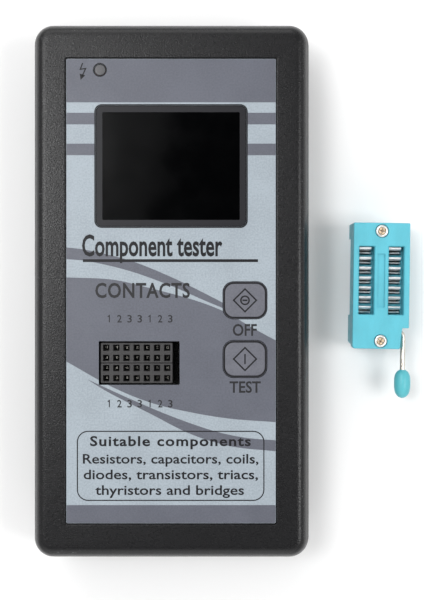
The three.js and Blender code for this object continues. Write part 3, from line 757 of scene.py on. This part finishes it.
def dark_print():
    bands = [block(-FILM_X, FILM_X, low, high, *UNDER_LAYER) for low, high in BANDS]
    inside = rounded(0, 0, 2 * FILM_X - 0.14, 2 * FILM_Y - 0.14, 0.3, 4)
    printed = together(*bands, *[swoosh(edges) for edges in SWOOSHES])
    printed = boolean(printed, prism(inside, INK_LOW - 1, INK_TOP + 1), "INTERSECT")
    printed = minus(printed, *film_openings(0.02))
    make_flat("overlay_dark_print", printed, FILM_DARK)


def stroke(points, width, z0=INK_MID, z1=INK_TOP):
    """A printed line of even width through a few points."""
    path = [Vector(p) for p in points]
    left, right = [], []
    for i, here in enumerate(path):
        before = (here - path[i - 1]).normalized() if i else None
        after = (path[i + 1] - here).normalized() if i + 1 < len(path) else None
        first, second = before or after, after or before
        along = (first + second).normalized()
        across = Vector((-along.y, along.x)) * width / 2 / max(0.35, along.dot(second))
        left.append(tuple(here + across))
        right.append(tuple(here - across))
    return prism(right + left[::-1], z0, z1)


def letters(text, left, right, baseline, height, weight, spacing=1.0):
    """Plain sans lettering that fills a width, with capitals of a given height."""
    def flat(words):
        curve = bpy.data.curves.new("lettering", "FONT")
        setup(curve, body=words, offset=weight, space_character=spacing, resolution_u=3)
        holder = placed("lettering", curve)
        mesh = evaluated(holder)
        bpy.data.objects.remove(holder)
        bpy.data.curves.remove(curve)
        return mesh

    capital = flat("H")
    cap_height = max(v.co.y for v in capital.vertices) - min(v.co.y for v in capital.vertices)
    bpy.data.meshes.remove(capital)
    solid = bmesh.new()
    mesh = flat(text)
    solid.from_mesh(mesh)
    bpy.data.meshes.remove(mesh)
    bmesh.ops.remove_doubles(solid, verts=solid.verts, dist=1e-5)
    across = [v.co.x for v in solid.verts]
    low, high = min(across), max(across)
    for v in solid.verts:
        v.co.x = left + (v.co.x - low) * (right - left) / (high - low)
        v.co.y = baseline + v.co.y * height / cap_height
        v.co.z = INK_MID
    raised = bmesh.ops.extrude_face_region(solid, geom=list(solid.faces))
    for v in raised["geom"]:
        if isinstance(v, bmesh.types.BMVert):
            v.co.z = INK_TOP
    return solid


def pin_numbers(baseline):
    """The terminal numbers over and under the test headers, one beside each column of sockets."""
    digits = []
    for column, digit in zip(PIN_COLUMNS, "1233123"):
        x = middle("upper_test_header")[0] + column * PIN_PITCH + 0.8
        if digit == "1":
            top = baseline + 1.72
            digits.append(stroke([(x - 0.38, baseline + 1.4), (x + 0.04, top), (x + 0.04, baseline)], 0.25))
        else:
            digits.append(letters(digit, x - 0.56, x + 0.56, baseline, 1.85, 0.012))
    return digits


def lettering():
    box = inset_box(-0.1, -43.6, 46.8, 17.5, 2.8, 8)
    lamp = middle("charge_lens")
    lines = [
        ring(box(0), box(0.27), *UPPER_LAYER),
        ring(window_hole(0.34), window_hole(0.02), *UPPER_LAYER),
        ring(circle(*lamp, 1.75, 40), circle(*lamp, LAMP_WINDOW + 0.01, 40), *UPPER_LAYER),
        stroke([(-22.0, 7.6), (21.7, 7.6)], 0.7, INK_MID, INK_TOP - 0.004),
        stroke([(-22.05, 56.9), (-22.65, 55.35), (-21.3, 55.55), (-22.2, 53.6)], 0.3),
        prism([(-22.8, 54.25), (-22.55, 52.7), (-21.4, 53.85)], *UPPER_LAYER),
        letters("Component tester", -22.2, 12.8, 8.85, 5.4, 0.022),
        letters("Suitable components", -20.2, 19.9, -38.6, 2.5, 0.022, spacing=1.12),
        letters("Resistors, capacitors, coils,", -22, 21.8, -43.0, 2.4, 0.013),
        letters("diodes, transistors, triacs,", -21.8, 21.7, -46.9, 2.4, 0.013),
        letters("thyristors and bridges", -18.9, 18.2, -50.8, 2.4, 0.013),
    ]
    soft = [
        letters("CONTACTS", -18.9, 4.7, -1.6, 3.75, 0.022, spacing=1.08),
        letters("OFF", 15.4, 21.4, -11.1, 2.95, 0.018),
        letters("TEST", 14.6, 22.4, -25.3, 2.85, 0.018),
        *pin_numbers(-7.8),
        *pin_numbers(-29.0),
    ]
    make_flat("overlay_lettering", together(*lines), INK)
    make_flat("overlay_captions", together(*soft), INK_SOFT)


def window_pane():
    place = middle("display_window")
    outline = inset_box(*place, *footprint("display_window"), 1.4, 8)
    pane = eased(outline, WINDOW_LOW.z, WINDOW_HIGH.z, 0.05, 0.06)
    make("window_pane", pane, "tester", PANE, ["display_window"])
    top = WINDOW_HIGH.z
    border = ring(outline(0.06), rounded(*place, *SCREEN, 0.3, 8), top - 0.02, top + PRINT)
    make_flat("window_border", border, WINDOW_INK)


def key(name, symbols):
    """An embossed key: a softly raised pad with a printed border and symbol, on a short stem."""
    low, high = span(name)
    x, y = middle(name)
    face = high.z - 0.02
    top = face + 0.006
    outline = inset_box(x, y, *footprint(name), KEY_CORNER, 8, pull=0.85)
    shoulder = [(0, 0.16), (0.05, 0.08), (0.16, 0.03), (0.45, 0.012)]
    rise = [(inset, face - down) for inset, down in shoulder]
    pad = stacked(outline, [(0, FILM_LOW.z), *rise, (1.0, face), (2.0, top)])
    pad = plus(pad, rod(x, y, 2.6, low.z, FILM_LOW.z + 0.1))
    make(f"{name}_pad", pad, name, KEY_FACE, [name])
    diamond = [[(x + r, y), (x, y + r), (x - r, y), (x, y - r)] for r in (3.1, 3.1 - 0.52)]
    layer = (top - 0.01, top + PRINT)
    border = ring(outline(0.08), outline(0.5), face - 0.03, face + PRINT)
    printed = together(border, ring(*diamond, *layer), *symbols(x, y, *layer))
    make_flat(f"{name}_print", printed, INK, name)


def off_symbol(x, y, z0, z1):
    rim = ring(circle(x, y, 1.22), circle(x, y, 0.84), z0, z1)
    return [rim, stroke([(x - 0.62, y), (x + 0.62, y)], 0.4, z0, z1)]


def test_symbol(x, y, z0, z1):
    return [stroke([(x, y - 1.28), (x, y + 1.28)], 0.34, z0, z1)]


# ---- the test headers
def header(name):
    """A block of square sockets: each mouth narrows to a bore, with a sprung contact inside."""
    low, high = span(name)
    x, y = middle(name)
    top = high.z
    body = eased(inset_box(x, y, *footprint(name), 0.25, 2), low.z, top, 0.1, 0.12)
    mouths, leaves = [], []
    for column in PIN_COLUMNS:
        for row in (-0.5, 0.5):
            px, py = x + column * PIN_PITCH, y + row * PIN_PITCH
            mouth = inset_box(px, py, 1.6, 1.6, 0.08, 1, pull=0)
            mouths.append(stacked(mouth, [(0.22, top - 6), (0.22, top - 0.9), (0, top - 0.5), (0, top + 1)]))
            tilt = random.uniform(-0.06, 0.06)
            for side in (-1, 1):
                edges = sorted((px + side * 0.1 + tilt, px + side * 0.22 + tilt))
                leaves.append(block(*edges, py - 0.3, py + 0.3, top - 5.8, top - 2.2 + tilt * 6))
    make(f"{name}_block", minus(body, *mouths), "tester", CONNECTOR, [name])
    # the springs use the darker metal that paints the shade deep inside the sockets
    make_flat(f"{name}_springs", together(*leaves), SHADED_SPRING_METAL)


# ---- the ZIF socket
def zif_outline(inset, nick=0.0):
    """The socket's outline in its own axes, with the notch for the lever and one cut corner."""
    w, back, front, notch_y = ZIF_WIDE - inset, 14.9 - inset, -17.6 + inset, -12.2 + inset
    cut = nick + 0.5
    notch = [(5.0 - inset, front), (5.55 - inset, notch_y)]
    corners = [(w, back), (-w, back), (-w, front + cut), (-w + cut, front), *notch, (w, notch_y)]
    return softened(corners, 0.34 - inset * 0.5, 4)


# heights over the bench, and places along the socket
ZIF_JOINT = 10.65
ZIF_TOP = 14.7
ZIF_LEGS = 3.3
SHAFT_NEAR, SHAFT_FAR = LEVER_Y - 0.95, -11.7
RIVET_YS = {"top": 12.75, "bottom": -15.6}
RIVET_BORE = 1.1
PIN_PLACES = [(side, i, (3 - i) * PIN_PITCH) for side in (-1, 1) for i in range(7)]


def zif_cover():
    low, top = ZIF_JOINT - 1, ZIF_TOP
    profile = [(0.1, ZIF_JOINT + 0.05), (0, ZIF_JOINT + 0.15), *fillet(0.35, top - 0.35, top, 5)]
    cutters = []
    for side in (-1, 1):
        slot = inset_box(side * ZIF_ROW, 0, 3.95, 17.6, 0.15, 2, pull=0)
        cutters.append(stacked(slot, [(0, low), (0, top - 0.25), (-0.2, top), (-0.2, top + 1)]))
    cutters.append(prism(rounded(-0.05, 0, 1.9, 13.9, 0.12, 2), top - 0.45, top + 1))
    for y in RIVET_YS.values():
        seat = [(1.75, top - 0.5), (1.75, top - 0.1), (1.85, top), (1.85, top + 1)]
        cutters.append(loft([at(circle(0, y, radius, 40), z) for radius, z in seat]))
        cutters.append(rod(0, y, RIVET_BORE, low, top - 0.3, 24))
    cutters.append(block(-3.3, 3.3, SHAFT_NEAR - 0.1, SHAFT_FAR, low, ZIF_JOINT + 0.5))
    cover = minus(stacked(zif_outline, profile), *cutters)
    make("zif_cover_moulding", cover, "zif_socket", TURQUOISE, ["zif_cover"])


def zif_base():
    low, top, above = 2, ZIF_JOINT - 0.05, 12
    profile = [(0.3, ZIF_LEGS), (0.08, ZIF_LEGS + 0.1), (0, ZIF_LEGS + 0.3), (0, top - 0.1), (0.1, top)]
    base = stacked(lambda inset: zif_outline(inset, 1.0), profile)
    cutters = [block(-6.2, 6.2, LEVER_Y, 10.9, 8.8, above), block(-5.2, 8, SHAFT_NEAR, -12.25, 8.5, above)]
    cutters.append(block(-3.15, 3.15, SHAFT_NEAR, SHAFT_FAR, 8.35, above))
    cutters += [post(x, 0, 1.95, 8.95, ZIF_LEGS + 1, above) for x in (-ZIF_ROW, ZIF_ROW)]
    for side, _, y in PIN_PLACES:
        cutters.append(post(side * ZIF_ROW, y, 0.45, 0.35, low, 5.5))
    for y in RIVET_YS.values():
        cutters += [rod(0, y, RIVET_BORE, low, above, 24), rod(0, y, 1.8, low, 4)]
    cutters += [post(x, 1, 0.4, 10, low, ZIF_JOINT - 2.2) for x in (-ZIF_WIDE, ZIF_WIDE)]
    base = minus(base, *cutters)
    make("zif_base_moulding", base, "zif_socket", TURQUOISE, ["zif_base"])


def bent_sheet(path, thickness, x0, x1):
    """Sheet metal of even thickness, bent along a path of (y, z) and running from x0 to x1."""
    points = [Vector(p) for p in path]
    left, right = [], []
    for i, here in enumerate(points):
        before = points[max(i - 1, 0)]
        after = points[min(i + 1, len(points) - 1)]
        along = (after - before).normalized()
        across = Vector((-along.y, along.x)) * thickness / 2
        left.append(here + across)
        right.append(here - across)
    outline = right + left[::-1]
    return loft([[(x, p.x, p.y) for p in outline] for x in (x0, x1)])


def zif_contact(side, i, y):
    """Two facing leaves joined at the foot; their tips curl apart to let a lead in."""
    x = side * ZIF_ROW - 0.3
    name = f"zif_contact_{'left' if side < 0 else 'right'}_{i + 1}"
    wide = smooth_through([(0.26, 5.3), (0.26, 9), (0.26, 12.3), (0.4, 13.1), (0.7, 13.5), (1.02, 13.56)], 5)
    narrow = smooth_through([(-0.26, 5.3), (-0.26, 9), (-0.26, 11.8), (-0.34, 12.3), (-0.62, 12.6)], 5)
    half = 1.55
    leaves = [bent_sheet([(y + p.x, p.y) for p in path], 0.2, x - half, x + half) for path in (wide, narrow)]
    foot = post(x, y, half, 0.34, 5.0, 5.25)
    tip = [(0.18, 0.0), (0.08, 0.35), (0, 0.8), (0, 5.05)]
    leg = stacked(lambda inset: rounded(side * ZIF_ROW, y, 0.55 - 2 * inset, 0.35 - inset, 0.05, 2), tip)
    spring = together(*leaves, foot, leg)
    make(f"{name}_spring", spring, "zif_socket", LEAF, [name], bevel=0.03)


def petal_outline(inset):
    out, half = 0.86 - inset, 0.52 - inset
    return softened([(out, half), (0.1 + inset, 0.04), (0.1 + inset, -0.04), (out, -half)], 0.1, 3)


def zif_rivet(place, y):
    """A hollow rivet: a rolled rim round a centre that is peened into four petals."""
    top = ZIF_TOP + 0.1
    low = ZIF_LEGS + 0.15
    foot = [(0, low), (1.5, low), (1.6, low + 0.15), (1.55, low + 0.35), (1.0, low + 0.4)]
    rim = [(1.0, 0.48), (1.52, 0.44), (1.6, 0.28), (1.5, 0.08), (1.3, 0), (1.1, 0.03), (0.98, 0.16)]
    rim += [(0.95, 0.9), (0, 0.95)]
    solid = turned([*foot, *[(radius, top - down) for radius, down in rim]], 48, 0, y)
    node = f"zif_rivet_{place}"
    make(f"{node}_rim", solid, "zif_socket", EYELET, [node], sharp=60)
    turn = random.uniform(0.2, 1.2)
    petals = []
    for i in range(4):
        petal = stacked(petal_outline, [(0, top - 0.98), (0.01, top - 0.2), (0.06, top - 0.1)])
        lean = Matrix.Rotation(turn + i * math.pi / 2 + random.uniform(-0.12, 0.12), 4, "Z")
        petals.append(moved(petal, Matrix.Translation((0, y, 0)) @ lean))
    make(f"{node}_petals", together(*petals), "zif_socket", TAN_BRASS, sharp=40)


def zif_lever():
    """A bent wire: its cross shaft carries the eccentric, and its arm runs out to the grip."""
    bend = 1.2
    x, y = LEVER_X - bend, LEVER_Y - bend
    corner = [(x + bend * math.sin(a), y + bend * math.cos(a)) for a in quarter_turn(8)]
    path = [(-4.6, LEVER_Y), (0, LEVER_Y), *corner, (LEVER_X, -20), (LEVER_X, -27.4)]
    wire = swept(at(path, LEVER_Z), 0.68, 16)
    cam = eased(lambda inset: circle(0, 0, 0.9 - inset, 24), -3, 3, 0.1, 0.1)
    cam = laid(cam, (0, LEVER_Y, LEVER_Z + 0.5), "Y")
    make("zif_lever_wire", plus(wire, cam), "zif_lever", LEVER_STEEL, ["zif_lever"], sharp=50)


def zif_grip():
    """A moulded grip, rounded all over and a little slimmer towards the socket."""
    length, widest, steps = 7.5, 2.2, 24
    profile = []
    for i in range(steps + 1):
        t = 0.5 - 0.5 * math.cos(math.pi * i / steps)
        swell = max(0.0, 1 - abs(2 * t - 1) ** 3) ** 0.5
        profile.append((widest * swell * (1.0 - 0.06 * t), length * (t - 0.5)))
    grip = laid(turned(profile, 40), (LEVER_X, -26.75, LEVER_Z), "X")
    make("zif_lever_grip", grip, "zif_lever", GRIP, ["zif_lever_knob"], sharp=80)


# ---- fastenings and the battery
def screw(name, index):
    """A pan-head screw with a cross recess and a coarse thread."""
    node = f"{name}_{index}"
    low, high = span(node)
    x, y = middle(node)
    head = (high.x - low.x) / 2
    shank = 1.1 if name == "case_screw" else 0.8
    seat = low.z + 1.9
    core = shank * 0.8
    profile = [(0, low.z), (head * 0.55, low.z + 0.05), (head * 0.85, low.z + 0.35), (head, low.z + 0.9)]
    profile += [(head, seat), (core, seat)]
    for i in range(int(high.z - seat - 1.2)):
        z = seat + 0.3 + i  # one turn of the thread in each millimetre
        profile += [(core, z), (shank, z + 0.3), (core, z + 0.6)]
    profile += [(shank * 0.5, high.z - 0.5), (0.1, high.z), (0, high.z)]
    body = turned(profile, 24, x, y)
    slots = [rounded(x, y, *size, 0.1, 2) for size in ((head * 1.1, 0.65), (0.65, head * 1.1))]
    cross = [prism(slot, low.z - 0.2, low.z + 1.0) for slot in slots]
    make(f"{node}_part", minus(body, *cross), "tester", STEEL, [node], sharp=45)


def battery():
    radius, length = (CELL_HIGH.z - CELL_LOW.z) / 2, CELL_HIGH.x - CELL_LOW.x
    foot = [(radius - 1.6, 0), (radius - 1.5, 0.12), (radius - 0.5, 0.15), (radius, 0.6)]
    shoulder = [(radius, 1.8), (radius - 0.5, 1.3), (radius - 1.5, 1.15), (radius - 1.6, 1.05)]
    tip = [(2.9, 1.0), (2.7, 0.2), (2.5, 0), (0, 0)]
    profile = [(0, 0), *foot, *[(out, length - down) for out, down in shoulder + tip]]
    can = laid(turned(profile, 64), (CELL_LOW.x, CELL_Y, CELL_Z), "Y")
    make("battery_cell_can", can, "tester", WRAP, ["battery_cell"])


def battery_spring():
    low, high = span("battery_spring")
    wire, steps = 0.35, 120
    route = []
    for i in range(steps + 1):
        t = i / steps
        angle = t * 2.5 * 2 * math.pi
        radius = 4.3 - 2.2 * t
        x = low.x + wire + (high.x - low.x - 2 * wire) * t
        route.append((x, CELL_Y + radius * math.cos(angle), CELL_Z + radius * math.sin(angle)))
    coil = swept(route, wire, 10)
    make("battery_spring_coil", coil, "tester", STEEL, ["battery_spring"], sharp=60)


def battery_lead(name, side, material):
    """An insulated lead from the contact's tab to the board."""
    y, z = CELL_Y, REAR_HIGH.z + 1
    points = [(25.5, y, z), (24, y + 2.5, z + 0.6), (22, y + 9, z + 0.6), (21.5, y + 15, z - 0.4)]
    points.append((21.5, y + 21.5, LEAD_END))
    route = smooth_through([(side * px, py, pz) for px, py, pz in points], 10)
    make(f"{name}_wire", swept(route, 0.62, 12), "tester", material, [name], sharp=60)


def charge_socket():
    """The charging socket's folded shell with its tongue."""
    low, high = span("charge_socket")
    x, z = (low.x + high.x) / 2, (low.z + high.z) / 2
    width, height, depth = high.x - low.x, high.z - low.z, high.y - low.y

    def mouth(inset):
        w, h = width / 2 - inset, height / 2 - inset
        foot, cut = w - 0.9, -h * 0.2
        return softened([(w, h), (-w, h), (-w, cut), (-foot, -h), (foot, -h), (w, cut)], 0.35, 3)

    shell = stacked(mouth, [(0.0, 0), (0.0, depth)])
    hollow = stacked(mouth, [(0.2, -1), (0.3, 0.15), (0.3, depth - 0.4)])
    tongue = prism(rounded(0, 0.15, width - 3.4, 0.5, 0.1, 2), 0.5, depth - 0.3)
    socket = laid(minus(shell, hollow), (x, high.y, z), "X")
    make("charge_socket_shell", socket, "tester", TIN, ["charge_socket"])
    tongue = laid(tongue, (x, high.y, z), "X")
    make("charge_socket_tongue", tongue, "tester", CONNECTOR)


def charge_lamp():
    """The lamp on the board, and the lens over it."""
    low, high = span("charge_lens")
    x, y = middle("charge_lens")
    radius = (high.x - low.x) / 2
    dome = [(radius * math.sin(a), high.z - 0.12 * (1 - math.cos(a)) - 0.02) for a in quarter_turn(8)]
    lens = turned([(0, low.z), (radius, low.z), *reversed(dome[1:]), (0, dome[0][1])], 48, x, y)
    make("charge_lens_disc", lens, "tester", LENS, ["charge_lens"], sharp=60)
    low, high = span("charge_led")
    base = low.z + 2.8
    shape = [(0, base), (1.9, base), (1.9, base + 0.9), (1.5, base + 0.95)]
    shape += [(1.5 * math.cos(a), high.z - 1.5 + 1.5 * math.sin(a)) for a in quarter_turn(8)[:-1]]
    led = turned([*shape, (0, high.z)], 32, x, y)
    legs = [post(leg_x, y, 0.25, 0.25, low.z, base + 0.1) for leg_x in (x - 1.27, x + 1.27)]
    make("charge_led_dome", together(led, *legs), "tester", LAMP, ["charge_led"], sharp=50)


CARRIED_OVER = [
    (MAIN_BOARD, "main_board"),
    (RED_BOARD, "display_board"),
    (DISPLAY, "display_panel"),
    (CONNECTOR, "display_pin_strip chip_socket"),
    (CONNECTOR, "off_switch_body test_switch_body off_switch_plunger test_switch_plunger"),
    (EPOXY, "microcontroller voltage_regulator electrolytic_capacitor"),
    (TIN, "crystal battery_contact_positive battery_contact_negative"),
    (TURQUOISE, "zif_slider"),
]


def build():
    for piece in (front_cover, rear_cover, battery_door, film, dark_print, lettering, window_pane):
        piece()
    key("off_key", off_symbol)
    key("test_key", test_symbol)
    for name in HEADERS:
        header(name)
    zif_cover()
    zif_base()
    for place in PIN_PLACES:
        zif_contact(*place)
    for place in RIVET_YS.items():
        zif_rivet(*place)
    zif_lever()
    zif_grip()
    for name in ("case_screw", "board_screw"):
        for index in SCREW_NUMBERS:
            screw(name, index)
    battery()
    battery_spring()
    battery_lead("battery_lead_positive", 1, RED_WIRE)
    battery_lead("battery_lead_negative", -1, BLACK_WIRE)
    charge_socket()
    charge_lamp()
    for material, nodes in CARRIED_OVER:
        for node in nodes.split():
            for place in frame["nodes"][node].material_slots:
                setup(place, link="OBJECT", material=material)


# ---- bench, light and camera
def bench():
    look = Look("bench_white", (0.92, 0.92, 0.92), 0.7)
    look.paint(look.tinted(look.noise(40), 0.985, 1.0))
    slab = post(0, 0, 1500, 1500, -20, -0.02)
    mesh = as_mesh("bench", moved(slab, Matrix.Scale(MM, 4)))
    mesh.materials.append(look.material)
    placed("bench", mesh)


def area_light(name, size, energy, place, turn):
    data = setup(bpy.data.lights.new(name, "AREA"), size=size, energy=energy)
    setup(placed(name, data), location=place, rotation_euler=turn)


def softbox(name, azimuth, slant, size, share):
    """A square light a metre from the tester, at an azimuth and at a slant from straight up, in degrees.

    share is how much of a white sheet's brightness on the bench comes from this light.
    """
    around, down = math.radians(azimuth), math.radians(slant)
    place = Vector((math.cos(around) * math.sin(down), math.sin(around) * math.sin(down), math.cos(down)))
    facing = (-place).to_track_quat("-Z", "Y").to_euler()
    area_light(name, size, share * math.pi**2 / math.cos(down), place, facing)


def ceiling_panel():
    """A dim board overhead, whose slanted edge shows softly in the display's glass."""
    size = 0.6
    turn = (0, 0, math.radians(-14))
    area_light("ceiling_panel", size, 0.17 * math.pi * size**2, (-0.385, 0.06, 1.2), turn)


def studio_walls():
    """A plain grey room that is darkest straight overhead, where the camera hangs."""
    world = bpy.data.worlds.new("studio")
    world.use_nodes = True
    tree = world.node_tree
    height = add_node(tree, "SeparateXYZ", {0: add_node(tree, "TexCoord", {}, "Generated")}, "Z")
    background = tree.nodes["Background"]
    background.inputs["Color"].default_value = (1, 1, 1, 1)
    tree.links.new(faded(tree, height, 0.5, 0.975, 0.72, 0.004), background.inputs["Strength"])
    bpy.context.scene.world = world


def surroundings():
    studio_walls()
    ceiling_panel()
    softbox("key_left", 154, 26, 0.5, 0.165)
    softbox("sheen_left", 160, 17.5, 0.24, 0.2)
    softbox("key_top", 104, 51, 0.8, 0.24)
    softbox("key_right", -8, 33, 0.35, 0.28)
    softbox("fill_front", -95, 58, 1.1, 0.18)
    bpy.context.scene.view_settings.view_transform = "Standard"


def camera():
    """Straight down over the tester's right half, as the tester and its socket are framed together."""
    data = setup(bpy.data.cameras.new("camera"), lens=78.2, sensor_width=36, clip_start=0.01)
    bpy.context.scene.camera = setup(placed("camera", data), location=(0.01022, -0.00222, 0.350))


camera()
surroundings()
bench()
build()
